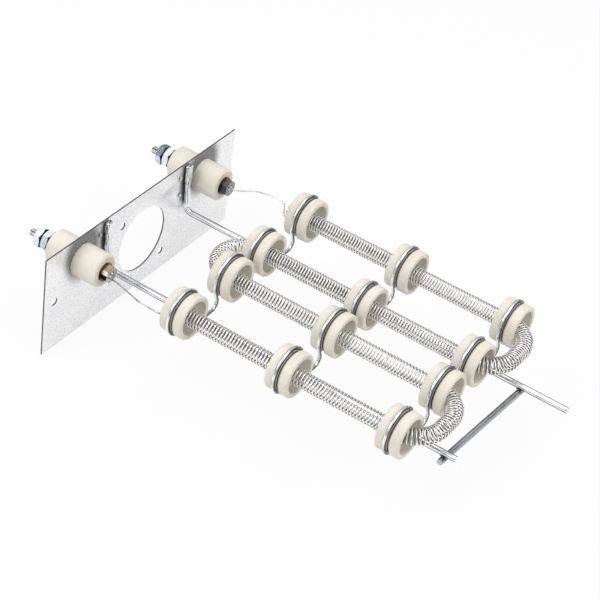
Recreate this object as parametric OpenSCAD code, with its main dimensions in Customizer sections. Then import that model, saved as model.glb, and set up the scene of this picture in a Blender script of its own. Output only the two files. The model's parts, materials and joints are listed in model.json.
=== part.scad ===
// Open coil heating element: one coiled resistance wire in ceramic spools, held by clips on a
// two-rod frame that is welded to a sheet mounting plate with two insulated terminals.
// X runs from the plate's inner face along the element, Y across it, Z up the plate.

/* [Mounting plate] */
// Width of the sheet across the element
plate_w = 190.5; // [170:0.5:220]
// Height of the sheet
plate_h = 73; // [66:0.5:90]
// Thickness of the sheet
plate_t = 1; // [0.8:0.1:2]
// Round window for the limit switch, at the plate's centre
window_d = 46; // [30:0.5:50]
// Step from the window's centre to each of its two screw holes, both across and up
window_screw_step = 21.7; // [20:0.1:26]
// Holes for the limit switch's screws
window_screw_d = 5.2; // [3:0.1:6]
// Holes for the screws that hold the plate
mount_screw_d = 5.4; // [4:0.1:6]
// Distance of those holes from the plate's ends
mount_screw_inset = 9.5; // [7:0.5:12]

/* [Terminals] */
// Distance between the two terminal studs
terminal_span = 121.7; // [110:0.1:130]
// Height of the studs above the plate's centre
terminal_z = 18.5; // [14:0.5:22]
// Diameter of the ceramic bushings
bushing_d = 22; // [18:0.5:24]
// Length of the bushing on the element's side
inner_bushing_l = 17.6; // [14:0.1:26]
// Length of the bushing on the wiring side
outer_bushing_l = 20; // [12:0.1:22]
// Bevel on the bushings' free rims
bushing_bevel = 1.2; // [0.5:0.1:2]
// Diameter of the studs
stud_d = 4.8; // [4:0.1:6]
// Length of stud past the outer nut
stud_tip_l = 6.3; // [4:0.1:12]
// Size across the flats of the nuts on the element's side
nut_af = 10; // [8:0.1:11]
// Size across the flats of the nuts on the wiring side
outer_nut_af = 12.2; // [8:0.1:13]
// Thickness of the nuts
nut_t = 4.4; // [3:0.1:6]
// Diameter of the plain washers
washer_d = 12.3; // [10:0.1:14]
// Thickness of the plain washers
washer_t = 1.1; // [0.6:0.1:1.6]
// Space left between the two outer nuts for a wire end
wire_gap = 1.2; // [0.8:0.1:3]

/* [Rod frame] */
// Diameter of the support rods and the cross bar
rod_d = 4; // [3:0.1:5]
// Distance between the two support rods
rod_span = 81.6; // [76:0.1:90]
// How far the rod frame sits to the right of the plate's centre
frame_shift = 2.3; // [0:0.1:4]
// Top of the rods' upright ends above the plate's centre
rod_top_z = 35.3; // [30:0.1:36]
// Width of the upright ends, which are flattened against the plate
upright_w = 5.2; // [4.2:0.1:6]
// Thickness of the flattened upright ends
upright_t = 3.2; // [2.6:0.1:4]
// Bend radius at the foot of the upright ends
rod_bend_r = 5; // [4:0.5:8]
// Reach of the left rod from the plate
left_rod_reach = 259; // [257:0.5:300]
// Reach of the right rod from the plate
right_rod_reach = 288; // [270:0.5:300]
// Distance of the cross bar from the plate
bar_x = 253.4; // [252:0.1:254]
// Length of the cross bar
bar_l = 91.5; // [88:0.5:100]
// Turn of the cross bar away from square
bar_skew = 3; // [0:0.5:4]

/* [Spools] */
// Height of the spools' axes above the rods' axes
spool_z = 21.2; // [20:0.1:24]
// Distance between the two spools that share a clip
pair_gap = 47.2; // [44:0.1:50]
// Front face of the first row of spools, from the plate
row_1_x = 86.4; // [80:0.1:90]
// Distance from row to row
row_step = 76.2; // [70:0.1:76.2]
// Outer diameter of a spool
spool_d = 28.6; // [26:0.1:30]
// Length of a spool
spool_l = 15.9; // [12:0.1:18]
// Bore of a spool
spool_bore = 22.2; // [16:0.1:22.4]
// Diameter at the bottom of the groove
groove_d = 26; // [25.6:0.1:27]
// Width of the groove
groove_w = 4.8; // [3:0.1:6]

/* [Clips] */
// Thickness of the clip wire
clip_wire_d = 2.4; // [1.6:0.1:2.6]
// Angle by which the wire runs on around the spool before it drops to the rod
clip_drop_turn = 20; // [10:1:30]
// Radius of the bend where the wire meets the rod
clip_foot_r = 5; // [3:0.1:5.5]
// Angle left open between the free end and the drop
clip_open = 50; // [40:1:90]

/* [Heating coil] */
// Outer diameter of the coil
coil_d = 11.1; // [9:0.1:12]
// Thickness of the resistance wire
wire_d = 1.1; // [0.8:0.05:1.2]
// How far the coil hangs below the spools' axes
coil_sag = 1; // [0:0.1:3]
// Step from turn to turn in the left pair of legs
left_pitch = 2.2; // [1.8:0.05:2.6]
// Step from turn to turn in the right pair of legs
right_pitch = 1.98; // [1.8:0.05:2.6]
// Where the coil's two ends are, from the plate, to the nearest whole turn
coil_end_x = 65.2; // [62:0.1:68]
// Farthest reach of the coil's middle line
coil_reach = 247.9; // [247:0.1:250]
// Corner radius of the two bends at the free end
far_corner_r = 19.1; // [12:0.1:20]
// Nearest approach of the coil's middle line to the plate
near_reach = 60; // [56:0.5:62]

/* [Hidden] */
$fn = 72;
weld_sink = 0.2;
fit_gap = 0.3;
wrap_gap = 0.2;
thread_gap = 0.05;
groove_wall_gap = 0.1;
hex_corner_ratio = 1 / cos(30);

rod_y = rod_span / 2;
row_x = [for (i = [0 : 2]) row_1_x + i * row_step];
left_pair = frame_shift - rod_y;
right_pair = frame_shift + rod_y;
leg_y = [left_pair - pair_gap / 2, left_pair + pair_gap / 2,
         right_pair - pair_gap / 2, right_pair + pair_gap / 2];

spigot_d = 12.4;
spigot_l = 2.8;
plate_hole_d = spigot_d + 2 * fit_gap;
stud_bore = stud_d + 2 * fit_gap;
nut_bore = stud_d + 2 * thread_gap;
lock_washer_t = 1.6;
lock_washer_d = 9.2;
lock_washer_slot = 0.9;

wrap_r = groove_d / 2 + clip_wire_d / 2 + wrap_gap;
clip_x = -spool_l / 2 - groove_w / 2 + clip_wire_d / 2 + groove_wall_gap;
clip_foot_z = rod_d / 2 + clip_wire_d / 2 - weld_sink;
drop_y = pair_gap / 2 - wrap_r * cos(clip_drop_turn);
drop_z = spool_z - wrap_r * sin(clip_drop_turn);
drop_end_z = clip_foot_z + clip_foot_r * (1 + sin(clip_drop_turn));
drop_l = (drop_z - drop_end_z) / cos(clip_drop_turn);
foot_y = drop_y + drop_l * sin(clip_drop_turn) - clip_foot_r * cos(clip_drop_turn);

coil_r = (coil_d - wire_d) / 2;
coil_z = spool_z - coil_sag;
far_leg_x = coil_reach - far_corner_r;
near_corner_r = (leg_y[2] - leg_y[1]) / 2;
function whole_turns(length, pitch) = max(1, round(length / pitch));
near_leg_x = far_leg_x - left_pitch * whole_turns(far_leg_x - near_reach - near_corner_r, left_pitch);
left_end_x = far_leg_x - left_pitch * whole_turns(far_leg_x - coil_end_x, left_pitch);
right_end_x = far_leg_x - right_pitch * whole_turns(far_leg_x - coil_end_x, right_pitch);
far_flat = pair_gap - 2 * far_corner_r;
lead_corner_r = 4;
lead_bend_r = 12;
lead_straight = 0.5;
lead_end = 3.5;
ball_ratio = 1.02;
ball_gap = 0.04;

// A round wire as a bending machine makes it. Each step is a straight length, a bend radius,
// a bend angle and the roll before the bend. It starts at the origin along Z and bends towards X.
// Where a bend other than a right angle ends, a ball a hair wider than the wire takes both ends.
module bent_wire(d, steps, i = 0, inset = 0) {
    length = steps[i][0];
    r = steps[i][1];
    angle = steps[i][2];
    more = i + 1 < len(steps);
    balled = more && angle % 90 != 0;
    gap = balled ? ball_gap * d : 0;
    if (length > 0.001) translate([0, 0, inset]) cylinder(d = d, h = length - inset);
    translate([0, 0, length]) rotate([0, 0, steps[i][3]]) {
        if (angle > 0)
            translate([r, 0, 0]) rotate([-90, 0, 0]) rotate([0, 0, 180])
                rotate_extrude(angle = angle - gap / r * 180 / PI) translate([r, 0]) circle(d = d);
        if (more)
            translate([r, 0, 0]) rotate([0, angle, 0]) translate([-r, 0, 0]) {
                if (balled) sphere(d = ball_ratio * d);
                bent_wire(d, steps, i + 1, gap);
            }
    }
}

function unit(v) = v / norm(v);

// The same steps for a wire through points, with a radius for the bend at each inner point
function wire_steps(points, radii) =
    let (bends = len(radii),
         way = [for (i = [0 : bends]) unit(points[i + 1] - points[i])],
         angle = [for (i = [0 : bends - 1]) acos(way[i] * way[i + 1])],
         trim = [for (i = [0 : bends - 1]) radii[i] * tan(angle[i] / 2)],
         inward = [for (i = [0 : bends - 1]) unit(way[i + 1] - (way[i] * way[i + 1]) * way[i])])
    [for (i = [0 : bends])
        let (length = norm(points[i + 1] - points[i])
                      - (i > 0 ? trim[i - 1] : 0) - (i < bends ? trim[i] : 0),
             x = i > 0 ? cos(angle[i - 1]) * inward[i - 1] - sin(angle[i - 1]) * way[i - 1] : inward[0])
        i == bends ? [length, 0, 0, 0]
        : [length, radii[i], angle[i], atan2(cross(x, inward[i]) * way[i], x * inward[i])]];

module wire_through(points, radii, d) {
    z = unit(points[1] - points[0]);
    next = unit(points[2] - points[1]);
    x = unit(next - (z * next) * z);
    y = cross(z, x);
    multmatrix([[x[0], y[0], z[0], points[0][0]],
                [x[1], y[1], z[1], points[0][1]],
                [x[2], y[2], z[2], points[0][2]]])
        bent_wire(d, wire_steps(points, radii));
}

// Points on a quarter circle, for rounded corners of a turned profile
function corner(at, r, from, steps = 4) =
    [for (i = [0 : steps]) at + r * [cos(from + i * 90 / steps), sin(from + i * 90 / steps)]];

module mounting_plate() {
    color("gainsboro")
    translate([-plate_t, 0, 0]) rotate([90, 0, 90])
    difference() {
        translate([-plate_w / 2, -plate_h / 2, 0]) cube([plate_w, plate_h, plate_t]);
        translate([0, 0, -1]) cylinder(d = window_d, h = plate_t + 2);
        for (s = [-1, 1]) {
            translate([s * window_screw_step, -s * window_screw_step, -1])
                cylinder(d = window_screw_d, h = plate_t + 2);
            translate([s * (plate_w / 2 - mount_screw_inset), 0, -1])
                cylinder(d = mount_screw_d, h = plate_t + 2);
            translate([s * terminal_span / 2, terminal_z, -1])
                cylinder(d = plate_hole_d, h = plate_t + 2);
        }
    }
}

// A rod with a flattened upright end on the plate, a bend, and a long run along the element
module support_rod(y, reach) {
    flat_z = rod_bend_r + 4;
    color("lightsteelblue")
    translate([0, y, 0]) {
        for (s = [-1, 1]) translate([upright_t / 2, s * (upright_w - upright_t) / 2, flat_z])
            cylinder(d = upright_t, h = rod_top_z - flat_z);
        translate([0, -(upright_w - upright_t) / 2, flat_z])
            cube([upright_t, upright_w - upright_t, rod_top_z - flat_z]);
        translate([rod_d / 2, 0, flat_z]) cylinder(d1 = rod_d, d2 = 0.6 * upright_t, h = 2.5);
        translate([rod_d / 2, 0, flat_z]) rotate([180, 0, 0])
            bent_wire(rod_d, [[flat_z - rod_bend_r, rod_bend_r, 90, 0],
                              [reach - rod_d / 2 - rod_bend_r, 0, 0, 0]]);
    }
}

module left_support_rod() { support_rod(left_pair, left_rod_reach); }
module right_support_rod() { support_rod(right_pair, right_rod_reach); }

// The bar is welded under both rods, so each rod has pressed a shallow seat into it
module cross_bar() {
    color("slategray")
    difference() {
        translate([bar_x, frame_shift, -rod_d + weld_sink]) rotate([90, 0, -bar_skew])
            cylinder(d = rod_d, h = bar_l, center = true);
        for (y = [left_pair, right_pair]) translate([bar_x - 10, y, 0]) rotate([0, 90, 0])
            cylinder(d = rod_d, h = 20);
    }
}

// One wire wraps both spools of a pair and crosses the rod between them
module clip(row, y) {
    color("lightsteelblue")
    translate([row_x[row] + clip_x, y, 0])
    difference() {
        for (s = [0, 180]) rotate([0, 0, s]) translate([0, 0, clip_foot_z]) rotate([-90, -90, 0])
            bent_wire(clip_wire_d, [[foot_y, clip_foot_r, 90 + clip_drop_turn, 0],
                                    [drop_l, wrap_r, 360 - clip_open, 180]]);
        translate([-5, 0, 0]) rotate([0, 90, 0]) cylinder(d = rod_d, h = 10);
    }
}

module near_left_clip() { clip(0, left_pair); }
module near_right_clip() { clip(0, right_pair); }
module middle_left_clip() { clip(1, left_pair); }
module middle_right_clip() { clip(1, right_pair); }
module far_left_clip() { clip(2, left_pair); }
module far_right_clip() { clip(2, right_pair); }

// A ceramic spool: a wide bore, two rounded flanges and a groove for the clip wire
module spool(row, leg) {
    ro = spool_d / 2;
    ri = spool_bore / 2;
    rg = groove_d / 2;
    edge = 1.1;
    lip = 0.6;
    flange = (spool_l - groove_w) / 2;
    color("antiquewhite")
    translate([row_x[row] - spool_l, leg_y[leg], spool_z]) rotate([90, 0, 90])
    rotate_extrude() polygon(concat(
        corner([ri + lip, lip], lip, 180),
        corner([ro - edge, edge], edge, 270),
        [[ro, flange], [rg, flange], [rg, flange + groove_w], [ro, flange + groove_w]],
        corner([ro - edge, spool_l - edge], edge, 0),
        corner([ri + lip, spool_l - lip], lip, 90)
    ));
}

module near_spool_1() { spool(0, 0); }
module near_spool_2() { spool(0, 1); }
module near_spool_3() { spool(0, 2); }
module near_spool_4() { spool(0, 3); }
module middle_spool_1() { spool(1, 0); }
module middle_spool_2() { spool(1, 1); }
module middle_spool_3() { spool(1, 2); }
module middle_spool_4() { spool(1, 3); }
module far_spool_1() { spool(2, 0); }
module far_spool_2() { spool(2, 1); }
module far_spool_3() { spool(2, 2); }
module far_spool_4() { spool(2, 3); }

// Half a turn of the coil, over the top or underneath, from the origin to where X reaches 2 * r
module half_turn(r, over) {
    translate([r, 0, 0]) rotate([over ? -90 : 90, 0, 0]) rotate([0, 0, 180])
        rotate_extrude(angle = 180) translate([r, 0]) circle(d = wire_d);
}

function half_run(points, i) = norm(points[i + 1] - points[i]) / 2;
function run_way(points, i) =
    let (run = points[i + 1] - points[i]) atan2(run[1], run[0]);

// Moves what follows from one of the points to a later one, in the same steps as the half turns
module move_on(points, i, count) {
    if (count == 0) children();
    else
        translate([half_run(points, i), 0, 0]) translate([half_run(points, i), 0, 0])
            rotate([0, 0, i + 2 < len(points) ? run_way(points, i + 1) - run_way(points, i) : 0])
                move_on(points, i + 1, count - 1) children();
}

// Half turns through the points, in two halves that are halved again
module half_turns(points, i, count) {
    if (count == 1) half_turn(half_run(points, i), i % 2 == 0);
    else {
        first = floor(count / 2);
        half_turns(points, i, first);
        move_on(points, i, first) half_turns(points, i + first, count - first);
    }
}

// A coiled stretch from a point of the coil's middle line, with its points given from there.
// The wire crosses from side to side at each of them.
module winding(start, points) {
    color("darkgray")
    translate([start[0] + points[0][0], start[1] + points[0][1], coil_z])
        rotate([0, 0, run_way(points, 0)])
            half_turns(points, 0, len(points) - 1);
}

// A point's distance to the left of the middle line, seen along the wire's way
function left_by(i) = (i % 2 == 0 ? 1 : -1) * coil_r;

module straight_coil(start, heading, length, pitch) {
    steps = 2 * whole_turns(length, pitch);
    winding(start, [for (i = [0 : steps])
        length * i / steps * [cos(heading), sin(heading)] + left_by(i) * [-sin(heading), cos(heading)]]);
}

// A quarter bend, where turn is 1 to the left and -1 to the right
module bent_coil(start, heading, turn, r, pitch) {
    steps = 2 * whole_turns(PI * r / 2, pitch);
    winding(start, [for (i = [0 : steps])
        let (a = heading + turn * 90 * i / steps)
        r * turn * [sin(a) - sin(heading), cos(heading) - cos(a)] + left_by(i) * [-sin(a), cos(a)]]);
}

module coil_leg_1() { straight_coil([left_end_x, leg_y[0]], 0, far_leg_x - left_end_x, left_pitch); }
module coil_corner_1() { bent_coil([far_leg_x, leg_y[0]], 0, 1, far_corner_r, left_pitch); }
module coil_left_span() {
    straight_coil([coil_reach, leg_y[0] + far_corner_r], 90, far_flat, left_pitch);
}
module coil_corner_2() { bent_coil([coil_reach, leg_y[1] - far_corner_r], 90, 1, far_corner_r, left_pitch); }
module coil_leg_2() { straight_coil([far_leg_x, leg_y[1]], 180, far_leg_x - near_leg_x, left_pitch); }
module coil_corner_3() { bent_coil([near_leg_x, leg_y[1]], 180, -1, near_corner_r, left_pitch); }
module coil_corner_4() {
    bent_coil([near_leg_x - near_corner_r, leg_y[1] + near_corner_r], 90, -1, near_corner_r, right_pitch);
}
module coil_leg_3() { straight_coil([near_leg_x, leg_y[2]], 0, far_leg_x - near_leg_x, right_pitch); }
module coil_corner_5() { bent_coil([far_leg_x, leg_y[2]], 0, 1, far_corner_r, right_pitch); }
module coil_right_span() {
    straight_coil([coil_reach, leg_y[2] + far_corner_r], 90, far_flat, right_pitch);
}
module coil_corner_6() { bent_coil([coil_reach, leg_y[3] - far_corner_r], 90, 1, far_corner_r, right_pitch); }
module coil_leg_4() { straight_coil([far_leg_x, leg_y[3]], 180, far_leg_x - right_end_x, right_pitch); }

// The left lead leaves the nut's face, dips under the coil and rises into its first turn
module left_lead() {
    x = left_end_x;
    y = leg_y[0];
    z = coil_z - coil_r;
    tip = [inner_nut_x + nut_t, -terminal_span / 2 + 0.5, terminal_z - (nut_af + stud_d) / 4];
    color("darkgray")
    wire_through([
        [x, y + coil_r, coil_z],
        [x, y + coil_r, z],
        [x, y - lead_corner_r - lead_straight, z],
        [x - 17, y - lead_corner_r - lead_straight + 0.2, z],
        tip + [lead_end, 0, 0],
        tip
    ], [coil_r, lead_corner_r, lead_bend_r, lead_bend_r], wire_d);
}

// The right lead rises from the coil's last turn and arches down to the stud's end
module right_lead() {
    x = right_end_x;
    y = leg_y[3] - coil_r;
    tip = [stud_front_x, terminal_span / 2, terminal_z + 0.7];
    color("darkgray")
    wire_through([
        [x, y, coil_z],
        [x, y, coil_z + 8.8],
        [x - 11.5, y - 0.2, coil_z + 8.2],
        [x - 21, y - 0.3, coil_z + 6.2],
        tip + [lead_end, 0, 0],
        tip
    ], [lead_corner_r, lead_bend_r, lead_bend_r, lead_bend_r], wire_d);
}

// The parts of a terminal stand in a row along the stud, out from the plate's two faces
module on_stud(side, x) {
    translate([x, side * terminal_span / 2, terminal_z]) rotate([90, 0, 90]) children();
}

module nut(af, turned) {
    difference() {
        intersection() {
            rotate([0, 0, turned]) cylinder(d = af * hex_corner_ratio, h = nut_t, $fn = 6);
            union() {
                cylinder(d1 = af, d2 = af + 2 * nut_t, h = nut_t / 2);
                translate([0, 0, nut_t / 2]) cylinder(d1 = af + 2 * nut_t, d2 = af, h = nut_t / 2);
            }
        }
        translate([0, 0, -1]) cylinder(d = nut_bore, h = nut_t + 2);
    }
}

inner_nut_x = inner_bushing_l + washer_t;
washer_x = -plate_t - outer_bushing_l - washer_t;
lock_washer_x = washer_x - lock_washer_t;
clamp_nut_x = lock_washer_x - nut_t;
wire_nut_x = clamp_nut_x - wire_gap - nut_t;
stud_back_x = wire_nut_x - stud_tip_l;
stud_front_x = inner_nut_x + nut_t + 0.9;

module stud(side) {
    tip = 0.7;
    color("peru")
    on_stud(side, stud_back_x) {
        cylinder(d1 = stud_d - 2 * tip, d2 = stud_d, h = tip);
        translate([0, 0, tip]) cylinder(d = stud_d, h = stud_front_x - stud_back_x - 2 * tip);
        translate([0, 0, stud_front_x - stud_back_x - tip])
            cylinder(d1 = stud_d, d2 = stud_d - 2 * tip, h = tip);
    }
}

// The bushing on the element's side has a seat that takes the other bushing's spigot
module inner_bushing(side) {
    r = bushing_d / 2;
    seat_l = spigot_l + fit_gap;
    color("antiquewhite")
    on_stud(side, 0) rotate_extrude() polygon([
        [stud_bore / 2, seat_l], [plate_hole_d / 2, seat_l], [plate_hole_d / 2, 0], [r, 0],
        [r, inner_bushing_l - bushing_bevel], [r - bushing_bevel, inner_bushing_l],
        [stud_bore / 2, inner_bushing_l]
    ]);
}

module outer_bushing(side) {
    r = bushing_d / 2;
    color("antiquewhite")
    on_stud(side, -plate_t - outer_bushing_l) rotate_extrude() polygon([
        [stud_bore / 2, 0], [r - bushing_bevel, 0], [r, bushing_bevel], [r, outer_bushing_l],
        [spigot_d / 2, outer_bushing_l], [spigot_d / 2, outer_bushing_l + plate_t + spigot_l],
        [stud_bore / 2, outer_bushing_l + plate_t + spigot_l]
    ]);
}

module washer(side, x) {
    color("silver")
    on_stud(side, x) difference() {
        cylinder(d = washer_d, h = washer_t);
        translate([0, 0, -1]) cylinder(d = stud_bore, h = washer_t + 2);
    }
}

module lock_washer(side) {
    color("silver")
    on_stud(side, lock_washer_x) difference() {
        cylinder(d = lock_washer_d, h = lock_washer_t);
        translate([0, 0, -1]) cylinder(d = stud_bore, h = lock_washer_t + 2);
        translate([0, -lock_washer_slot / 2, -1]) cube([lock_washer_d, lock_washer_slot, lock_washer_t + 2]);
    }
}

module left_stud() { stud(-1); }
module left_inner_bushing() { inner_bushing(-1); }
module left_outer_bushing() { outer_bushing(-1); }
module left_inner_washer() { washer(-1, inner_bushing_l); }
module left_inner_nut() { color("khaki") on_stud(-1, inner_nut_x) nut(nut_af, 12); }
module left_washer() { washer(-1, washer_x); }
module left_lock_washer() { lock_washer(-1); }
module left_clamp_nut() { color("lightsteelblue") on_stud(-1, clamp_nut_x) nut(outer_nut_af, 5); }
module left_wire_nut() { color("lightsteelblue") on_stud(-1, wire_nut_x) nut(outer_nut_af, 25); }
module right_stud() { stud(1); }
module right_inner_bushing() { inner_bushing(1); }
module right_outer_bushing() { outer_bushing(1); }
module right_inner_washer() { washer(1, inner_bushing_l); }
module right_inner_nut() { color("dimgray") on_stud(1, inner_nut_x) nut(nut_af, 20); }
module right_washer() { washer(1, washer_x); }
module right_lock_washer() { lock_washer(1); }
module right_clamp_nut() { color("lightsteelblue") on_stud(1, clamp_nut_x) nut(outer_nut_af, 18); }
module right_wire_nut() { color("steelblue") on_stud(1, wire_nut_x) nut(outer_nut_af, 40); }

mounting_plate();
left_support_rod();
right_support_rod();
cross_bar();
near_left_clip();
near_right_clip();
middle_left_clip();
middle_right_clip();
far_left_clip();
far_right_clip();
near_spool_1();
near_spool_2();
near_spool_3();
near_spool_4();
middle_spool_1();
middle_spool_2();
middle_spool_3();
middle_spool_4();
far_spool_1();
far_spool_2();
far_spool_3();
far_spool_4();
coil_leg_1();
coil_leg_2();
coil_leg_3();
coil_leg_4();
coil_corner_1();
coil_left_span();
coil_corner_2();
coil_corner_3();
coil_corner_4();
coil_corner_5();
coil_right_span();
coil_corner_6();
left_lead();
right_lead();
left_stud();
left_inner_bushing();
left_outer_bushing();
left_inner_washer();
left_inner_nut();
left_washer();
left_lock_washer();
left_clamp_nut();
left_wire_nut();
right_stud();
right_inner_bushing();
right_outer_bushing();
right_inner_washer();
right_inner_nut();
right_washer();
right_lock_washer();
right_clamp_nut();
right_wire_nut();
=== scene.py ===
import json
import math
import bpy
from mathutils import Matrix, Vector, noise


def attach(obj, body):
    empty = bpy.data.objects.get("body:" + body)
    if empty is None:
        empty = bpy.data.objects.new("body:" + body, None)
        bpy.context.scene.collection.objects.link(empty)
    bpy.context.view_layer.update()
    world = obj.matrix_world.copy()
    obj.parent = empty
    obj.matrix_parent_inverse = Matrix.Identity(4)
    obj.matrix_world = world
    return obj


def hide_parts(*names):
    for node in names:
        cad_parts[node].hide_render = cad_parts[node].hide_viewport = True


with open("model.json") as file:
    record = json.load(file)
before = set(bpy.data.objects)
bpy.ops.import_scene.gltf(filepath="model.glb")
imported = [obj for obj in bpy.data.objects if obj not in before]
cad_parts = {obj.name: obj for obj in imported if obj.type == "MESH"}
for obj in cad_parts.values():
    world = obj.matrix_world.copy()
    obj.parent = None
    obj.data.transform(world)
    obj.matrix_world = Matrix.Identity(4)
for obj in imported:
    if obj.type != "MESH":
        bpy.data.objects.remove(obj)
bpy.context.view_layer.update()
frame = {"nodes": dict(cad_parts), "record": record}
mm = 0.001  # every size below is in millimetres, in the part's own frame
print("frame loaded with", len(frame["nodes"]), "nodes")

camera = {
    "position": (589.41, -843.63, 791.63),
    "right": (0.8171263, 0.5639861, 0.1192654),
    "down": (0.4342253, -0.4661164, -0.7708333),
    "forward": (-0.3791477, 0.6816562, -0.6257730),
    "lens": 122.53,
    "sensor": 36.0,
    "clip": (0.01, 20),  # metres
}


def placeCamera():
    data = bpy.data.cameras.new("photoCamera")
    data.sensor_fit = "HORIZONTAL"
    data.sensor_width = camera["sensor"]
    data.lens = camera["lens"]
    data.clip_start, data.clip_end = camera["clip"]
    eye = bpy.data.objects.new("photoCamera", data)
    bpy.context.scene.collection.objects.link(eye)
    up, back = -Vector(camera["down"]), -Vector(camera["forward"])
    turn = Matrix((camera["right"], up, back)).transposed()
    eye.matrix_world = Matrix.Translation(Vector(camera["position"]) * mm) @ turn.to_4x4()
    bpy.context.scene.camera = eye


placeCamera()
print("camera placed")


# A shader socket that can stand in a sum: each operator adds one Math node
class Signal:
    def __init__(self, nodes, socket):
        self.nodes, self.socket = nodes, socket

    def __add__(self, other): return self.nodes.maths("ADD", self, other)
    def __radd__(self, other): return self.nodes.maths("ADD", other, self)
    def __sub__(self, other): return self.nodes.maths("SUBTRACT", self, other)
    def __rsub__(self, other): return self.nodes.maths("SUBTRACT", other, self)
    def __mul__(self, other): return self.nodes.maths("MULTIPLY", self, other)
    def __rmul__(self, other): return self.nodes.maths("MULTIPLY", other, self)
    def __truediv__(self, other): return self.nodes.maths("DIVIDE", self, other)
    def __rtruediv__(self, other): return self.nodes.maths("DIVIDE", other, self)
    def __gt__(self, other): return self.nodes.maths("GREATER_THAN", self, other)
    def __lt__(self, other): return self.nodes.maths("LESS_THAN", self, other)


# The nodes that are added to a finish or to the sky
class Nodes:
    def __init__(self, tree):
        self.tree = tree

    # type, settings first, then the values or links of its sockets
    def add(self, kind, settings=None, sockets=None, out=0):
        node = self.tree.nodes.new(kind)
        for key, value in (settings or {}).items():
            if key == "stops":
                self.setStops(node.color_ramp.elements, value)
            else:
                setattr(node, key, value)
        for key, value in (sockets or {}).items():
            if isinstance(value, Signal):
                self.tree.links.new(value.socket, node.inputs[key])
            else:
                node.inputs[key].default_value = value
        return Signal(self, node.outputs[out])

    def setStops(self, stops, values):  # a new ramp has two stops
        for i, (place, tone) in enumerate(values):
            stop = stops[i] if i < 2 else stops.new(place)
            stop.position, stop.color = place, (*tone, 1)

    def maths(self, operation, *values):
        return self.add("ShaderNodeMath", {"operation": operation}, dict(enumerate(values)))


# One material on the part
class Finish(Nodes):
    def __init__(self, name, **constants):
        self.material = bpy.data.materials.new(name)
        self.material.use_nodes = True
        super().__init__(self.material.node_tree)
        self.shader = self.tree.nodes["Principled BSDF"]
        for socket, value in constants.items():
            self.shader.inputs[socket.replace("_", " ")].default_value = value

    def most(self, values):
        result = values[0]
        for value in values[1:]:
            result = self.maths("MAXIMUM", result, value)
        return result

    def least(self, values):
        result = values[0]
        for value in values[1:]:
            result = self.maths("MINIMUM", result, value)
        return result

    def ease(self, value, low, high):  # 0 at low, 1 at high, smooth between them
        return self.add("ShaderNodeMapRange", {"interpolation_type": "SMOOTHSTEP"},
                        {"Value": value, "From Min": low, "From Max": high})

    def between(self, factor, first, second):  # values
        return first + factor * (second - first)

    def mix(self, factor, first, second):  # colours
        return self.add("ShaderNodeMix", {"data_type": "RGBA"}, {0: factor, 6: first, 7: second}, 2)

    def place(self, stretch=(1, 1, 1)):  # where on the part, in metres, stretched for streaks
        spot = self.add("ShaderNodeTexCoord", out="Object")
        return self.add("ShaderNodeVectorMath", {"operation": "MULTIPLY"}, {0: spot, 1: stretch})

    def height(self):  # millimetres above the plate's centre
        return self.add("ShaderNodeSeparateXYZ", None, {0: self.place()}, "Z") / mm

    def grain(self, scale, detail=3.0, roughness=0.5, stretch=(1, 1, 1)):
        return self.add("ShaderNodeTexNoise", None,
                        {"Vector": self.place(stretch), "Scale": scale, "Detail": detail,
                         "Roughness": roughness}, "Fac")

    def cells(self, scale):
        return self.add("ShaderNodeTexVoronoi", None, {"Vector": self.place(), "Scale": scale},
                        "Distance")

    def facing(self, way):  # how far the surface faces one way on the part, -1 to 1
        normal = self.add("ShaderNodeNewGeometry", out="Normal")
        return self.add("ShaderNodeVectorMath", {"operation": "DOT_PRODUCT"},
                        {0: normal, 1: way}, "Value")

    def either(self, value):  # the same for both signs
        return self.maths("ABSOLUTE", value)

    def away(self, point, scale=(1, 1, 1)):  # millimetres from a point of the part
        here = self.add("ShaderNodeTexCoord", out="Object")
        spot = self.add("ShaderNodeVectorMath", {"operation": "MULTIPLY"},
                        {0: here, 1: [s / mm for s in scale]})
        return self.add("ShaderNodeVectorMath", {"operation": "DISTANCE"},
                        {0: spot, 1: [p * s for p, s in zip(point, scale)]}, "Value")

    def feed(self, **signals):
        for socket, value in signals.items():
            self.tree.links.new(value.socket, self.shader.inputs[socket.replace("_", " ")])

    def bump(self, height, strength, distance):
        sockets = {"Height": height, "Strength": strength, "Distance": distance * mm}
        self.feed(Normal=self.add("ShaderNodeBump", None, sockets))


def colour(red, green, blue):  # from screen values of 0 to 255
    return tuple(((v / 255 + 0.055) / 1.055) ** 2.4 if v > 10 else v / 255 / 12.92
                 for v in (red, green, blue)) + (1.0,)


frameSizes = {
    "rodY": (-38.5, 43.1),
    "rowX": (86.4, 162.6, 238.8),
    "clipX": -9.05,  # from a row's middle to its clips' welds
    "clipZ": 3.0,
    "barX": 253.4,
    "barY": 2.3,
    "barZ": -2.0,
    "barSkew": 3.0,
    "studY": 60.85,
    "studZ": 18.5,
}


def weldSpots():
    s = frameSizes
    slope = math.sin(math.radians(s["barSkew"]))
    clips = [(x + s["clipX"], y, s["clipZ"]) for x in s["rowX"] for y in s["rodY"]]
    bars = [(s["barX"] + slope * (y - s["barY"]), y, s["barZ"]) for y in s["rodY"]]
    return clips, bars


clipWelds, barWelds = weldSpots()

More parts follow.
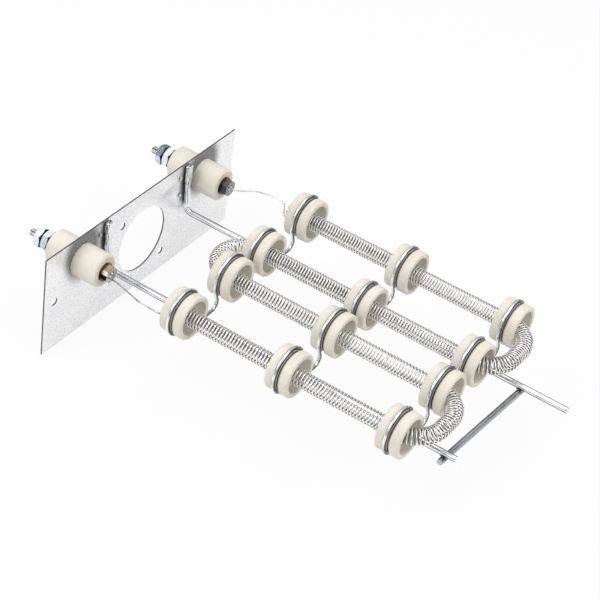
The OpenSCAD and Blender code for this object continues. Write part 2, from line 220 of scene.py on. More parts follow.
sheetFinish = {
    "bright": colour(255, 255, 255),
    "grey": colour(249, 249, 252),
    "fleck": colour(166, 167, 174),
    "cutEdge": colour(88, 88, 90),
    # painted shade: the dark colour laid on the plate beside the bushings, the uprights and in the
    # smear
    "paintedShade": colour(46, 45, 43),
    "metal": 0.6,
    "roughness": (0.2, 0.42),
    "fleckScale": 820,
    "fleckRange": (0.5, 0.62),
    "fleckDepth": 0.45,
    "cloudScale": 60.0,
    "cloudRange": (0.35, 0.7),
    "bushingShade": (13.0, 22.0),  # full and nothing, from a point above the stud's middle
    "bushingShadeZ": 6,
    "uprightShade": (1.0, 8.0),
    "uprightShadeAt": (-3.2, 24),  # beside the upright, and its height
    "uprightShadeEdge": 2,
    "shadeSmear": (24.0, 23.0),  # a painted shade smear between the window and the right upright
    "shadeSmearFoot": (43, 12),
    "shadeSmearReach": (2, 12),
    "shadeSmearDepth": 0.55,
    "shadeEdge": 3,  # how far a patch of painted shade wanders, in millimetres
    "shadeDepth": 0.9,
    "bump": (0.3, 0.06),  # strength, and millimetres
}


# Bright zinc with fine flecks, darkened with painted shade around the bushings and beside the rods'
# upright ends, where they sit on it
def galvanisedSheet():
    s = sheetFinish
    f = Finish("galvanisedSheet", Metallic=s["metal"])
    flecks = f.grain(s["fleckScale"], 3.0, 0.7)
    cloud = f.grain(s["cloudScale"], 4.0, 0.6)
    skin = f.mix(f.ease(cloud, *s["cloudRange"]), s["bright"], s["grey"])
    skin = f.mix(f.ease(flecks, *s["fleckRange"]) * s["fleckDepth"], skin, s["fleck"])
    # painted shade patches on the plate's inner face: around the bushings, beside the uprights and
    # a smear
    paintedShades = []
    for side in (-1, 1):
        full, none = s["bushingShade"]
        spot = (0, side * frameSizes["studY"], frameSizes["studZ"] + s["bushingShadeZ"])
        paintedShades.append(f.ease(f.away(spot, (0, 1, 0.8)) + cloud * s["shadeEdge"], none, full))
    edge = cloud * s["uprightShadeEdge"]
    for y in frameSizes["rodY"]:
        full, none = s["uprightShade"]
        beside, z = s["uprightShadeAt"]
        near = f.ease(f.away((0, y + beside, z), (0, 1, 0.22)) + edge, none, full)
        paintedShades.append(near * near)
    full, none = s["shadeSmearReach"]
    reach = f.away((0, *s["shadeSmear"]), (0, 0.45, 1)) + f.away((0, *s["shadeSmearFoot"]), (0, 0.2, 0.1))
    paintedShades.append(f.ease(reach + cloud * s["shadeEdge"], none, full) * s["shadeSmearDepth"])
    inner = f.facing((1, 0, 0)) > 0.5
    paintedShade = f.most(paintedShades) * inner * (0.85 + 0.5 * (flecks - 0.5))
    skin = f.mix(paintedShade * s["shadeDepth"], skin, s["paintedShade"])
    cut = f.either(f.facing((1, 0, 0))) < 0.5
    f.feed(Base_Color=f.mix(cut, skin, s["cutEdge"]))
    low, high = s["roughness"]
    f.feed(Roughness=low + (high - low) * flecks + cut * 0.2 + paintedShade * 0.2)
    f.bump(flecks * 0.8 + cloud * 0.2, *s["bump"])
    return f.material


ceramicFinish = {
    "cream": colour(231, 226, 214),
    "warm": colour(218, 212, 198),
    "speck": colour(172, 160, 138),
    # painted shade colour for the grooves beside the clips
    "grooveShade": colour(78, 69, 60),
    "cloudScale": 90.0,
    "cloudRange": (0.3, 0.75),
    "poreScale": 2600.0,
    "speckScale": 900,
    "speckSize": (0.14, 0.05),
    "speckRange": (0.45, 0.6),
    "speckDepth": 0.5,
    "spoolY": (-62.1, -14.9, 19.5, 66.7),
    "spoolZ": 21.2,
    "grooveShadeX": (78.5, 79.7),  # in each spool's groove, beside its clip
    "grooveShadeFrom": 60,  # the bushings, nearer the plate, get no painted groove shade
    "grooveShadeR": (12.5, 13.7),
    "bump": (0.35, 0.06),
}


# Unglazed ceramic with fine specks, with painted shade in the grooves where the clips run
def creamCeramic():
    s = ceramicFinish
    f = Finish("creamCeramic", IOR=1.5, Specular_IOR_Level=0.35)
    cloud = f.grain(s["cloudScale"], 4.0, 0.6)
    pores = f.grain(s["poreScale"], 2.0, 0.6)
    body = f.mix(f.ease(cloud, *s["cloudRange"]), s["cream"], s["warm"])
    specks = f.ease(f.cells(s["speckScale"]), *s["speckSize"]) * f.ease(cloud, *s["speckRange"])
    body = f.mix(specks * s["speckDepth"], body, s["speck"])
    along = f.away((0, 0, 0), (1, 0, 0))
    firstX, secondX = frameSizes["rowX"][:2]
    inRow = f.maths("WRAP", along, firstX, 2 * firstX - secondX)
    low, high = s["grooveShadeX"]
    inner, outer = s["grooveShadeR"]
    near = f.least([f.away((0, y, s["spoolZ"]), (0, 1, 1)) for y in s["spoolY"]])
    band = f.ease(inRow, low, low + 0.2) * f.ease(inRow, high + 0.3, high - 0.3)
    groove = f.ease(near, outer, outer - 0.5) * (near > inner)
    # painted shade in each spool's groove beside its clip
    grooveShade = band * (along > s["grooveShadeFrom"]) * groove
    f.feed(Base_Color=f.mix(grooveShade * (0.75 + 0.4 * cloud), body, s["grooveShade"]))
    f.feed(Roughness=0.62 + 0.2 * pores)
    f.bump(pores * 0.7 + cloud * 0.3, *s["bump"])
    return f.material


wireFinish = {
    "bright": colour(250, 249, 247),
    "dull": colour(196, 194, 191),
    "oxideAndShade": colour(132, 128, 124),
    "metal": 0.7,
    "roughness": (0.14, 0.34),
    "patchScale": 240.0,
    "drawnScale": 1900.0,
    "wornRange": (0.3, 0.56),
    "oxideAndShadeRange": (0.5, 0.0),
    "oxideAndShadeDepth": 0.92,
    "bump": (0.15, 0.02),
}


# Bare wire with oxide, darker on the turns' flanks and inner side as painted shade where the coil
# shades itself; their outer crests are brighter
def bareWire():
    s = wireFinish
    f = Finish("bareWire", Metallic=s["metal"])
    patch = f.grain(s["patchScale"], 4.0, 0.6)
    drawn = f.grain(s["drawnScale"], 3.0, 0.7)
    worn = f.ease(patch * 0.6 + drawn * 0.4, *s["wornRange"])
    crest = f.add("ShaderNodeAttribute", {"attribute_name": "crest"}, out="Fac")
    # oxide with painted shade on the turns' flanks and inner side
    oxideAndShade = f.ease(crest + 0.5 * (patch - 0.5), *s["oxideAndShadeRange"])
    skin = f.mix(worn, s["dull"], s["bright"])
    f.feed(Base_Color=f.mix(oxideAndShade * s["oxideAndShadeDepth"], skin, s["oxideAndShade"]))
    low, high = s["roughness"]
    f.feed(Roughness=high - (high - low) * worn + 0.1 * oxideAndShade)
    f.bump(drawn, *s["bump"])
    return f.material


# A flank or seam is a painted reflection line along the rod where it faces that way
rodFinish = {
    "bright": colour(250, 251, 253),
    "blue": colour(206, 210, 218),
    # painted reflection: the dark colour of the lines laid along the flanks and the seam
    "line": colour(64, 63, 63),
    "heat": colour(118, 112, 106),
    "roughness": (0.14, 0.3),
    "drawnScale": 700.0,
    "cloudScale": 70.0,
    "blueRange": (0.4, 0.7),
    "weldReach": 4.5,  # how far the heat of a weld has dulled the plating
    "weldDepth": 0.7,
    "flankReflectionWay": (0, 0.73, 0.68),
    "flankReflectionRange": (0.68, 0.92),
    "flankReflectionDepth": 0.9,
    "wander": 0.12,
    "seamReflection": (0, -0.78, 0.62),
    "seamReflectionRange": (0.965, 0.995),
    "seamReflectionDepth": 0.28,
    "uprights": True,
    "uprightZ": (4, 9),  # where the run's painted reflection lines give way to the hammered end's painted lines
    "bump": (0.12, 0.02),
}


hammeredFinish = {
    "beatenScale": 900.0,
    "beatenRange": (0.3, 0.6),
    "dentScale": 300.0,
    "dentDepth": 0.5,
    "plateSideShadeRange": (0.12, -0.2),
    "grey": (0.6, 0.8, 0),
    "greyReflectionRange": (-0.1, -0.45),
    "greyReflectionDepth": 0.75,
    "wanderingReflection": (0.5, 0.86, 0),
    "wanderingReflectionRange": (0.16, 0.04),
    "wanderingReflectionDepth": 0.85,
}


# The hammered ends' painted lines: painted shade at the foot against the plate, a painted grey
# reflection on a flank and a wandering painted dark reflection line
def hammeredPaintedLines(f):
    s = hammeredFinish
    beaten = f.grain(s["beatenScale"], 3.0, 0.6, (1, 1, 0.14))
    dent = s["dentDepth"] * (f.grain(s["dentScale"], 2.0, 0.5, (1, 1, 0.5)) - 0.5)
    # painted shade along the upright's side against the plate
    foot = f.ease(f.facing((1, 0, 0)), *s["plateSideShadeRange"])
    grey = f.ease(f.facing(s["grey"]) + dent * 0.4, *s["greyReflectionRange"])
    grey = grey * f.ease(beaten, *s["beatenRange"])
    # a wandering painted dark reflection line
    wanderingReflection = f.ease(f.either(f.facing(s["wanderingReflection"]) - 0.1 + dent), *s["wanderingReflectionRange"])
    return f.most([foot, wanderingReflection * s["wanderingReflectionDepth"], grey * s["greyReflectionDepth"]])


# Zinc plate over drawn wire, with painted dark reflection lines along both flanks
def platedRod(name, stretch, welds, look=rodFinish):
    f = Finish(name, Metallic=1.0)
    drawn = f.grain(look["drawnScale"], 3.0, 0.6, stretch)
    cloud = f.grain(look["cloudScale"], 3.0, 0.5)
    tint = f.ease(cloud * 0.7 + drawn * 0.3, *look["blueRange"])
    base = f.mix(tint, look["bright"], look["blue"])
    wander = look["wander"] * (cloud - 0.5)
    # painted dark reflection lines along the flanks and a seam
    flank = f.ease(f.either(f.facing(look["flankReflectionWay"])) + wander, *look["flankReflectionRange"])
    seamReflection = f.ease(f.either(f.facing(look["seamReflection"])) + wander * 0.3, *look["seamReflectionRange"])
    reflectionLines = f.most([flank * look["flankReflectionDepth"], seamReflection * look["seamReflectionDepth"]])
    if look["uprights"]:
        reflectionLines = f.between(f.ease(f.height(), *look["uprightZ"]), reflectionLines, hammeredPaintedLines(f))
    base = f.mix(reflectionLines, base, look["line"])
    near = f.least([f.away(weld) for weld in welds])
    reach = look["weldReach"]
    heat = f.ease(near + (cloud - 0.5) * 3, reach, 0.35 * reach)
    low, high = look["roughness"]
    f.feed(Base_Color=f.mix(heat * look["weldDepth"], base, look["heat"]),
           Roughness=low + (high - low) * drawn + heat * 0.2)
    f.bump(drawn, *look["bump"])
    return f.material


# end faces away from the element and gap towards it. Below a height set per finish, from the stud's
# middle, a facet has the colour of the under side, a painted shade
nutFinish = {
    "brightNut": {
        "top": colour(214, 186, 140), "side": colour(250, 248, 244), "under": colour(22, 20, 19),
        "end": colour(186, 188, 190), "gap": colour(190, 192, 192), "stain": colour(112, 78, 50),
        "roughness": 0.12, "metal": 1.0, "paintedShadeBelow": 1.6,
    },
    "darkNut": {
        "top": colour(112, 109, 112), "side": colour(74, 72, 74), "under": colour(44, 42, 45),
        "end": colour(90, 90, 96), "gap": colour(140, 143, 152), "stain": colour(22, 21, 24),
        "roughness": 0.14, "metal": 1.0, "paintedShadeBelow": -9.0,
    },
    "zincNut": {
        "top": colour(250, 251, 253), "side": colour(232, 237, 248), "under": colour(186, 196, 222),
        "end": colour(240, 243, 250), "gap": colour(24, 25, 30), "stain": colour(206, 215, 234),
        "roughness": 0.16, "metal": 0.45, "paintedShadeBelow": -9.0,
    },
    "blueNut": {
        "top": colour(128, 140, 160), "side": colour(168, 180, 200), "under": colour(226, 232, 244),
        "end": colour(206, 214, 228), "gap": colour(60, 63, 72), "stain": colour(84, 94, 112),
        "roughness": 0.14, "metal": 0.8, "paintedShadeBelow": -9.0,
    },
    "plainWasher": {
        "top": colour(98, 72, 56), "side": colour(62, 52, 48), "under": colour(52, 48, 46),
        "end": colour(150, 146, 142), "gap": colour(112, 96, 84), "stain": colour(44, 36, 32),
        "roughness": 0.2, "metal": 1.0, "paintedShadeBelow": -9.0,
    },
}


fittingFinish = {
    "turnedScale": 260.0,
    "stainScale": 330.0,
    "stainRange": (0.5, 0.75),
    "stainDepth": 0.6,
    "underRange": (-0.25, 0.05),  # how far up a facet faces
    "topRange": (0.55, 0.75),
    "endFrom": 0.8,
    "darkEdge": 0.5,
    "bump": (0.2, 0.03),
}


# Plated hexagons and washers: each facet is coloured by the way it faces, painted highlights and
# reflections on upper facets, painted shade on lower ones and in the zinc nuts' gaps
def platedFitting(name):
    look, s = nutFinish[name], fittingFinish
    f = Finish(name, Metallic=look["metal"])
    turned = f.grain(s["turnedScale"], 4.0, 0.6, (1, 6, 6))
    stain = f.grain(s["stainScale"], 4.0, 0.65)
    height = f.height() - frameSizes["studZ"]
    up = f.facing((0, 0, 1)) + 0.2 * (stain - 0.5)
    low, high = look["paintedShadeBelow"] - s["darkEdge"], look["paintedShadeBelow"] + s["darkEdge"]
    # painted shade on lower facets and below a set height, painted highlights and reflections on
    # the sides and top
    lit = f.ease(up, *s["underRange"]) * f.ease(height, low, high)
    skin = f.mix(lit, look["under"], look["side"])
    skin = f.mix(f.ease(up, *s["topRange"]), skin, look["top"])
    skin = f.mix(f.facing((-1, 0, 0)) > s["endFrom"], skin, look["end"])
    skin = f.mix(f.facing((1, 0, 0)) > s["endFrom"], skin, look["gap"])
    stained = f.ease(stain, *s["stainRange"]) * s["stainDepth"]
    f.feed(Base_Color=f.mix(stained, skin, look["stain"]))
    f.feed(Roughness=look["roughness"] + 0.2 * turned)
    f.bump(turned * 0.5 + stain * 0.5, *s["bump"])
    return f.material


studFinish = {
    "bright": colour(248, 246, 243),
    "paintedDark": colour(122, 98, 78),
    "end": colour(150, 146, 142),
    "reflectionStreakWays": ((-0.95, -0.3), (-0.55, 0.83), (0.35, 0.94), (0.9, -0.4)),
    "reflectionStreakR": 2.2,
    "reflectionStreakWidth": (0.95, 0.45),
    "reflectionStreakDepth": 0.9,
    "stainScale": 500.0,
    "gapShadeX": (28.0, 29.4),  # a painted shade band between the two outer nuts, away from the plate
    "roughness": 0.16,
    "bump": (0.15, 0.03),
}


# Brown painted reflection streaks run lengthwise along the thread, with a band of painted shade
# between the outer nuts
def paintedStreakStud():
    s = studFinish
    f = Finish("paintedStreakStud", Metallic=1.0)
    stain = f.grain(s["stainScale"], 3.0, 0.6, (0.3, 1, 1))
    # painted reflection streaks at four places around each stud
    reflectionStreaks = []
    for side in (-1, 1):
        for y, z in s["reflectionStreakWays"]:
            point = (0, side * frameSizes["studY"] + s["reflectionStreakR"] * y,
                     frameSizes["studZ"] + s["reflectionStreakR"] * z)
            reflectionStreaks.append(f.ease(f.away(point, (0, 1, 1)) + (stain - 0.5), *s["reflectionStreakWidth"]))
    skin = f.mix(f.most(reflectionStreaks) * s["reflectionStreakDepth"], s["bright"], s["paintedDark"])
    skin = f.mix(f.either(f.facing((1, 0, 0))) > 0.9, skin, s["end"])
    # painted shade band between the outer nuts
    out = f.away((0, 0, 0), (1, 0, 0))
    low, high = s["gapShadeX"]
    skin = f.mix((out > low) * (out < high), skin, s["paintedDark"])
    f.feed(Base_Color=skin, Roughness=s["roughness"] + 0.2 * stain)
    f.bump(stain, *s["bump"])
    return f.material


clipLook = {
    **rodFinish,
    "flankReflectionWay": (1, 0, 0),
    "flankReflectionRange": (0.5, 0.86),
    "seamReflection": (0, 1, 0),
    "seamReflectionRange": (0.99, 1.0),
    "seamReflectionDepth": 0.55,
    "uprights": False,
}
# The cross bar's plating is painted darker than the rods', standing in for its darker reflections,
# and is rougher
barLookPaintedDarker = {
    **rodFinish,
    "bright": colour(196, 199, 206),
    "blue": colour(150, 154, 164),
    "roughness": (0.26, 0.4),
    "flankReflectionWay": (0.855, 0, -0.518),
    "flankReflectionRange": (0.64, 0.93),
    "seamReflection": (0.5, 0, 0.86),
    "seamReflectionRange": (0.95, 0.995),
    "seamReflectionDepth": 0.55,
    "uprights": False,
}
finishes = {
    "galvanised_sheet": galvanisedSheet(),
    "ceramic": creamCeramic(),
    "resistance_wire": bareWire(),
    "plated_rod": platedRod("platedRod", (0.06, 1, 1), clipWelds + barWelds),
    "plated_clip_wire": platedRod("platedClipWire", (1, 0.12, 0.12), clipWelds, clipLook),
    "bright_nut": platedFitting("brightNut"),
    "dark_nut": platedFitting("darkNut"),
    "zinc_nut": platedFitting("zincNut"),
    "plain_washer": platedFitting("plainWasher"),
    "terminal_stud": paintedStreakStud(),
}
ownFinishes = {
    "cross_bar": platedRod("zincBarPaintedDarker", (1, 0.06, 1), barWelds, barLookPaintedDarker),
    "right_wire_nut": platedFitting("blueNut"),
}
for part in frame["record"]["subparts"]:
    solid = frame["nodes"][part["node"]]
    solid.data.materials.clear()
    solid.data.materials.append(ownFinishes.get(part["node"], finishes[part["material_slot"]]))
print("finishes made:", len(finishes) + len(ownFinishes))


def makePiece(name, points, faces, slot, stands=(), crest=None):
    mesh = bpy.data.meshes.new(name)
    mesh.from_pydata([Vector(p) * mm for p in points], [], faces)
    mesh.polygons.foreach_set("use_smooth", [True] * len(mesh.polygons))
    if crest:
        mesh.attributes.new("crest", "FLOAT", "POINT").data.foreach_set("value", crest)
    mesh.materials.append(finishes[slot])
    piece = bpy.data.objects.new(name, mesh)
    bpy.context.scene.collection.objects.link(piece)
    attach(piece, "root")
    if stands:
        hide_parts(*stands)
    return piece


# The faces of a tube: each row of points is joined to the next, and both ends are closed
def tubeFaces(rows, around):
    faces = []
    last = (rows - 1) * around
    for row in range(0, last, around):
        for k in range(around):
            a, b = row + k, row + (k + 1) % around
            faces.append((a, b, b + around, a + around))
    return faces + [tuple(range(around))[::-1], tuple(range(last, last + around))]


# A round wire along a line of points. crest is 1 where it faces away from the middle of its turn,
# and a lead, which has no turn, has its own even value
def sweepWire(line, middles, radius, sides, leadCrest):
    points, crest = [], []
    way = (line[1] - line[0]).normalized()
    side = way.orthogonal().normalized()
    for i, at in enumerate(line):
        ahead = (line[min(i + 1, len(line) - 1)] - line[max(i - 1, 0)]).normalized()
        side = (side - ahead * side.dot(ahead)).normalized()
        across = ahead.cross(side)
        for k in range(sides):
            a = 2 * math.pi * k / sides
            out = math.cos(a) * side + math.sin(a) * across
            points.append(at + radius * out)
            crest.append(out.dot((at - middles[i]).normalized()) if middles[i] else leadCrest)
    return points, tubeFaces(len(line), sides), crest


# A line through corners, each rounded to its radius
def roundedLine(corners, radii, step=0.6, fewest=4, shortest=0.01):
    line = [corners[0]]
    for before, at, after, radius in zip(corners, corners[1:], corners[2:], radii):
        come, go = (at - before).normalized(), (after - at).normalized()
        angle = come.angle(go)
        trim = radius * math.tan(angle / 2)
        inward = (go - come * go.dot(come)).normalized()
        centre = at - come * trim + inward * radius
        count = max(fewest, round(radius * angle / step))
        for k in range(count + 1):
            a = angle * k / count
            line.append(centre - inward * radius * math.cos(a) + come * radius * math.sin(a))
    line.append(corners[-1])
    return [p for i, p in enumerate(line) if i == 0 or (p - line[i - 1]).length > shortest]


heatingWire = {
    "wire": 0.95,
    "coilR": 5.0,
    "z": 20.2,
    "pitch": (2.2, 1.98),
    "start": (66.0, -62.1),
    "end": (64.46, 66.7),
    "legs": (162.8, 151.8, 151.8, 164.34),
    "farR": 19.1,
    "farFlat": 9.0,
    "nearR": 17.2,
    "stepsPerTurn": 24,
    "sides": 8,
    "unevenness": 0.14,  # how far the turns wander along the coil
    "wanderScale": 0.21,
    "swell": 0.06,  # how far a turn's radius differs
    "swellScale": 0.5,
    "swellFrom": (9, 4, 1),
    "leadCornerR": 4.0,
    "leadBendR": 12.0,
    "leadCrest": (0.18, 0.85),  # how bright the left and the right lead are
    "leadStraight": 0.5,
    "leadEnd": 3.5,
    "leftRun": (-17, 0.2),  # from the left lead's corner to its bend towards the nut
    "nutFaceX": 23.1,
    "nutInset": 0.5,
    "nutEdge": 3.7,  # from the stud's middle to the middle of the nut's face
    "rightArch": ((0, 0, 8.8), (-11.5, -0.2, 8.2), (-21, -0.3, 6.2)),  # from the coil's end
    "studEndX": 24.0,
    "studEndLift": 0.7,
}


# The coil's turns along straight runs (length, 0) and quarter bends (radius, turn)
def coilLine(sections, at, heading, pitch, line, middles):
    w = heatingWire
    up = Vector((0, 0, 1))
    for size, turn in sections:
        length = size if turn == 0 else math.pi * size / 2
        turns = max(1, round(length / pitch))
        steps = turns * w["stepsPerTurn"]
        begin, beginHeading = at.copy(), heading
        for k in range(steps + 1):
            share = k / steps
            if turn:
                heading = beginHeading + turn * math.pi / 2 * share
                mid = begin + size * turn * Vector((math.sin(heading) - math.sin(beginHeading),
                                                    math.cos(beginHeading) - math.cos(heading), 0))
            else:
                mid = begin + size * share * Vector((math.cos(heading), math.sin(heading), 0))
            ahead = Vector((math.cos(heading), math.sin(heading), 0))
            left = Vector((-math.sin(heading), math.cos(heading), 0))
            around = 2 * math.pi * turns * share
            wander = noise.noise(mid * w["wanderScale"]) * w["unevenness"]
            uneven = noise.noise(mid * w["swellScale"] + Vector(w["swellFrom"]))
            radius = w["coilR"] + w["swell"] * uneven
            if k < steps or (size, turn) == sections[-1]:
                middle = mid + ahead * wander
                line.append(middle + radius * (math.cos(around) * left + math.sin(around) * up))
                middles.append(middle)
        at = mid
    return at, heading


# Each lead from its coil end to its terminal. The left one is turned round, for the coil follows it
def leadLines():
    w = heatingWire
    r, z, corner, bend = w["coilR"], w["z"], w["leadCornerR"], w["leadBendR"]
    end = Vector((w["leadEnd"], 0, 0))
    x, y = w["start"]
    low = z - r
    across = y - corner - w["leadStraight"]
    runX, runY = w["leftRun"]
    tip = Vector((w["nutFaceX"], -frameSizes["studY"] + w["nutInset"],
                  frameSizes["studZ"] - w["nutEdge"]))
    left = [Vector(p) for p in ((x, y + r, z), (x, y + r, low), (x, across, low),
                                (x + runX, across + runY, low))] + [tip + end, tip]
    leftLine = roundedLine(left, (r, corner, bend, bend))[::-1]
    x, y = w["end"]
    y -= r
    tip = Vector((w["studEndX"], frameSizes["studY"], frameSizes["studZ"] + w["studEndLift"]))
    arch = [Vector((x + a, y + b, z + c)) for a, b, c in w["rightArch"]]
    right = [Vector((x, y, z))] + arch + [tip + end, tip]
    return leftLine, roundedLine(right, (corner, bend, bend, bend))


def makeHeatingWire():
    w = heatingWire
    leftLead, rightLead = leadLines()
    far = [(w["farR"], 1), (w["farFlat"], 0), (w["farR"], 1)]
    line = leftLead[:-1]
    middles = [None] * len(line)
    at, heading = coilLine([(w["legs"][0], 0)] + far + [(w["legs"][1], 0), (w["nearR"], -1)],
                           Vector((*w["start"], w["z"])), 0.0, w["pitch"][0], line, middles)
    points, faces, crest = sweepWire(line, middles, w["wire"] / 2, w["sides"], w["leadCrest"][0])
    makePiece("leftHeatingWire", points, faces, "resistance_wire",
              ["left_lead", "coil_leg_1", "coil_corner_1", "coil_left_span", "coil_corner_2",
               "coil_leg_2", "coil_corner_3"], crest)
    line, middles = [], []
    coilLine([(w["nearR"], -1), (w["legs"][2], 0)] + far + [(w["legs"][3], 0)],
             at, heading, w["pitch"][1], line, middles)
    line += rightLead[1:]
    middles += [None] * (len(rightLead) - 1)
    points, faces, crest = sweepWire(line, middles, w["wire"] / 2, w["sides"], w["leadCrest"][1])
    makePiece("rightHeatingWire", points, faces, "resistance_wire",
              ["coil_corner_4", "coil_leg_3", "coil_corner_5", "coil_right_span", "coil_corner_6",
               "coil_leg_4", "right_lead"], crest)


makeHeatingWire()
print("heating wire wound")

rodSizes = {
    "radius": 2.0,
    "bendR": 5.0,
    "reach": (259.0, 288.0),
    "top": 35.6,
    "taperTo": 27.0,  # the height from which the upright keeps its full width
    "endWidth": 2.9,  # half of the upright's width and thickness at its top
    "endDepth": 1.8,
    "squareness": 0.35,
    "dents": 0.16,
    "dentScale": (1.2, 0.35),  # around the upright and along it
    "around": 28,
    "roundEnd": 1.0,
    "cutEnd": 0.35,
    "steps": {"cutEnd": 4, "run": 60, "bend": 16, "upright": 60, "roundEnd": 6},
}


# The rod's sections from its cut end to its rounded top: centre and the way across the rod in its
# own plane, both as x and z, then half width, half depth and how much of the hammering it has
def rodSections(reach):
    s, steps = rodSizes, rodSizes["steps"]
    radius, bend, cut, rounded = s["radius"], s["bendR"], s["cutEnd"], s["roundEnd"]
    foot = radius + bend
    sections = []
    for k in range(steps["cutEnd"] + 1):
        a = math.pi / 2 * k / steps["cutEnd"]
        size = radius - cut * (1 - math.sin(a))
        sections.append(((reach - cut * (1 - math.cos(a)), 0), (0, 1), size, size, 0))
    for k in range(1, steps["run"] + 1):
        x = reach - cut - (reach - cut - foot) * k / steps["run"]
        sections.append(((x, 0), (0, 1), radius, radius, 0))
    for k in range(1, steps["bend"] + 1):
        a = math.pi / 2 * k / steps["bend"]
        sections.append(((foot - bend * math.sin(a), bend * (1 - math.cos(a))),
                         (math.sin(a), math.cos(a)), radius, radius, 0))
    for k in range(1, steps["upright"] + 1):
        z = bend + (s["top"] - rounded - bend) * k / steps["upright"]
        share = min(1, (z - bend) / (s["taperTo"] - bend))
        share = share * share * (3 - 2 * share)
        wide = radius + (s["endWidth"] - radius) * share
        deep = radius + (s["endDepth"] - radius) * share
        sections.append(((deep, z), (1, 0), wide, deep, share))
    for k in range(1, steps["roundEnd"] + 1):
        a = math.pi / 2 * k / steps["roundEnd"]
        shrink = rounded * (1 - math.cos(a))
        sections.append(((s["endDepth"], s["top"] - rounded * (1 - math.sin(a))), (1, 0),
                         s["endWidth"] - shrink, s["endDepth"] - shrink, 1))
    return sections


# A rod whose upright end is hammered wider and thinner against the plate, with a rounded top
def makeRod(name, y, reach, node):
    s = rodSizes
    around, along = s["dentScale"]
    sections = rodSections(reach)
    points = []
    for (x, z), (outX, outZ), wide, deep, share in sections:
        power = 1 - s["squareness"] * share
        for k in range(s["around"]):
            a = 2 * math.pi * k / s["around"]
            cross, out = math.cos(a), math.sin(a)
            cross = math.copysign(abs(cross) ** power, cross)
            out = math.copysign(abs(out) ** power, out)
            spot = Vector((y + cross * around, out * around, z * along))
            dent = 1 + s["dents"] * share * noise.noise(spot)
            depth = deep * out * (dent if out > 0 else 1)  # the side on the plate stays flat
            points.append((x + outX * depth, y + wide * cross * dent, z + outZ * depth))
    makePiece(name, points, tubeFaces(len(sections), s["around"]), "plated_rod", [node])


for side, name, node in ((0, "leftRod", "left_support_rod"), (1, "rightRod", "right_support_rod")):
    makeRod(name, frameSizes["rodY"][side], rodSizes["reach"][side], node)
print("rods bent")

studSizes = {
    "radius": 2.4,
    "pitch": 0.794,
    "depth": 0.3,
    "flank": 0.4,  # from the groove's bottom to the crest, as a share of the pitch
    "back": -40.0,
    "front": 24.0,
    "chamfer": 0.6,
    "around": 24,
    "rowsPerPitch": 8,
}


# A stud with a rolled thread along its whole length
def makeStud(name, y, node):
    s = studSizes
    length = s["front"] - s["back"]
    rows = round(length / s["pitch"] * s["rowsPerPitch"])
    points = []
    for i in range(rows + 1):
        along = length * i / rows
        fromEnd = min(along, length - along)
        cap = s["radius"] - max(0.0, s["chamfer"] - fromEnd)
        for k in range(s["around"]):
            a = 2 * math.pi * k / s["around"]
            phase = (along / s["pitch"] - k / s["around"]) % 1.0
            groove = max(0.0, 1 - abs(phase - 0.5) / s["flank"])
            radius = min(s["radius"] - s["depth"] * groove, cap)
            points.append((s["back"] + along, y + radius * math.cos(a),
                           frameSizes["studZ"] + radius * math.sin(a)))
    makePiece(name, points, tubeFaces(rows + 1, s["around"]), "terminal_stud", [node])


makeStud("leftThreadedStud", -frameSizes["studY"], "left_stud")
makeStud("rightThreadedStud", frameSizes["studY"], "right_stud")
print("studs threaded")

weldSizes = {
    "clip": (1.9, 1.5, 0.8),
    "clipAside": 1.5,  # two pools, one on each side of the rod
    "clipDrop": 1.35,
    "bar": (1.6, 1.8, 0.7),
    "barAside": 1.6,
    "upright": (0.7, 1.4, 1.6),
    "uprightSpots": ((0.5, 36.6, 28), (0.5, 37.4, 14.4), (0.5, -44.6, 28)),
    "lumpiness": 0.22,
    "lumpScale": 2.1,
    "rings": 10,
    "around": 16,
    "barSeed": 20,
    "uprightSeed": 40,
}


# A small pool of melted metal: a lumpy flattened ball
def weldPool(centre, size, seed, points, faces):
    w = weldSizes
    around = w["around"]
    base = len(points)
    for i in range(w["rings"] + 1):
        up = math.pi * i / w["rings"]
        for k in range(around):
            a = 2 * math.pi * k / around
            out = Vector((math.sin(up) * math.cos(a), math.sin(up) * math.sin(a), math.cos(up)))
            lump = noise.noise(out * w["lumpScale"] + Vector((seed * 3.7, seed, 0)))
            lump = 1 + w["lumpiness"] * lump
            points.append(Vector(centre) + Vector(s * v * lump for s, v in zip(size, out)))
        if i:
            row = base + (i - 1) * around
            for k in range(around):
                a, b = row + k, row + (k + 1) % around
                faces.append((a, a + around, b + around, b))


def makeWelds():
    w = weldSizes
    points, faces = [], []
    for i, (x, y, z) in enumerate(clipWelds):
        for s in (-1, 1):
            spot = (x, y + s * w["clipAside"], z - w["clipDrop"])
            weldPool(spot, w["clip"], i + 0.5 * s, points, faces)
    for i, (x, y, z) in enumerate(barWelds):
        for s in (-1, 1):
            weldPool((x + s * w["barAside"], y, z), w["bar"], w["barSeed"] + i + s, points, faces)
    for i, spot in enumerate(w["uprightSpots"]):
        weldPool(spot, w["upright"], w["uprightSeed"] + i, points, faces)
    makePiece("frameWelds", points, faces, "plated_rod")


makeWelds()
print("welds added")

studio = {
    "floorZ": -36.55,
    "floorSize": 6000,
    "floorColour": colour(236, 236, 236),
    "floorRoughness": 0.9,
    "whiteToCamera": 0.9,  # the rest is the floor's own shading, which keeps the shadow
    "whiteInMetal": 0.8,
    "skyStops": [(0.0, (0.2, 0.2, 0.2)), (0.5, (0.2, 0.2, 0.2)), (0.56, (0.34, 0.34, 0.35)),
                 (0.68, (0.85, 0.85, 0.85)), (1.0, (1, 1, 1))],
    "skyStrength": 0.78,
    "lampsAim": (125, 0, 0),
}
lamps = {
    "keyBox": {"at": (-250, -800, 850), "size": 650, "power": 5.0, "colour": (1, 1, 1)},
    "fillBox": {"at": (1000, 150, 650), "size": 700, "power": 3.0, "colour": (1, 1, 1)},
    "topBox": {"at": (120, 250, 1150), "size": 700, "power": 2.2, "colour": (1, 1, 1)},
}


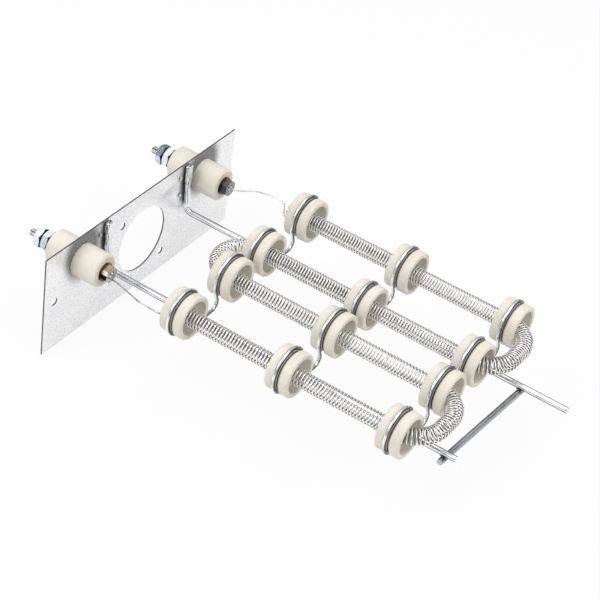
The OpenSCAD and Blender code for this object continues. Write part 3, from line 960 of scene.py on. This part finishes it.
def makeFloor():
    half, z = studio["floorSize"] / 2, studio["floorZ"]
    corners = ((-half, -half, z), (half, -half, z), (half, half, z), (-half, half, z))
    mesh = bpy.data.meshes.new("studioFloor")
    mesh.from_pydata([Vector(p) * mm for p in corners], [], [(0, 1, 2, 3)])
    floor = bpy.data.objects.new("studioFloor", mesh)
    bpy.context.scene.collection.objects.link(floor)
    f = Finish("studioFloor", Base_Color=studio["floorColour"],
               Roughness=studio["floorRoughness"], Specular_IOR_Level=0.0)
    seen = f.add("ShaderNodeLightPath", out="Is Camera Ray") * studio["whiteToCamera"]
    mirrored = f.add("ShaderNodeLightPath", out="Is Glossy Ray") * studio["whiteInMetal"]
    white = f.add("ShaderNodeEmission", None, {"Color": (1, 1, 1, 1), "Strength": 1.0})
    shaded = Signal(f, f.shader.outputs[0])
    mixed = f.add("ShaderNodeMixShader", None, {0: seen + mirrored, 1: shaded, 2: white})
    f.tree.links.new(mixed.socket, f.tree.nodes["Material Output"].inputs["Surface"])
    mesh.materials.append(f.material)


def makeSky():
    world = bpy.data.worlds.new("studioWorld")
    world.use_nodes = True
    bpy.context.scene.world = world
    sky = Nodes(world.node_tree)
    way = sky.add("ShaderNodeTexCoord", out="Generated")
    height = sky.add("ShaderNodeSeparateXYZ", None, {0: way}, "Z")
    share = sky.add("ShaderNodeMapRange", None, {"Value": height, "From Min": -1.0})
    tone = sky.add("ShaderNodeValToRGB", {"stops": studio["skyStops"]}, {0: share})
    light = sky.tree.nodes["Background"]
    light.inputs["Strength"].default_value = studio["skyStrength"]
    sky.tree.links.new(tone.socket, light.inputs["Color"])


def makeLamps():
    target = Vector(studio["lampsAim"]) * mm
    for name, lamp in lamps.items():
        data = bpy.data.lights.new(name, "AREA")
        data.shape = "SQUARE"
        data.size = lamp["size"] * mm
        data.energy = lamp["power"]
        data.color = lamp["colour"]
        box = bpy.data.objects.new(name, data)
        bpy.context.scene.collection.objects.link(box)
        box.location = Vector(lamp["at"]) * mm
        box.rotation_euler = (target - box.location).to_track_quat("-Z", "Y").to_euler()


makeFloor()
makeSky()
makeLamps()
bpy.context.scene.view_settings.view_transform = "Standard"
print("studio set")
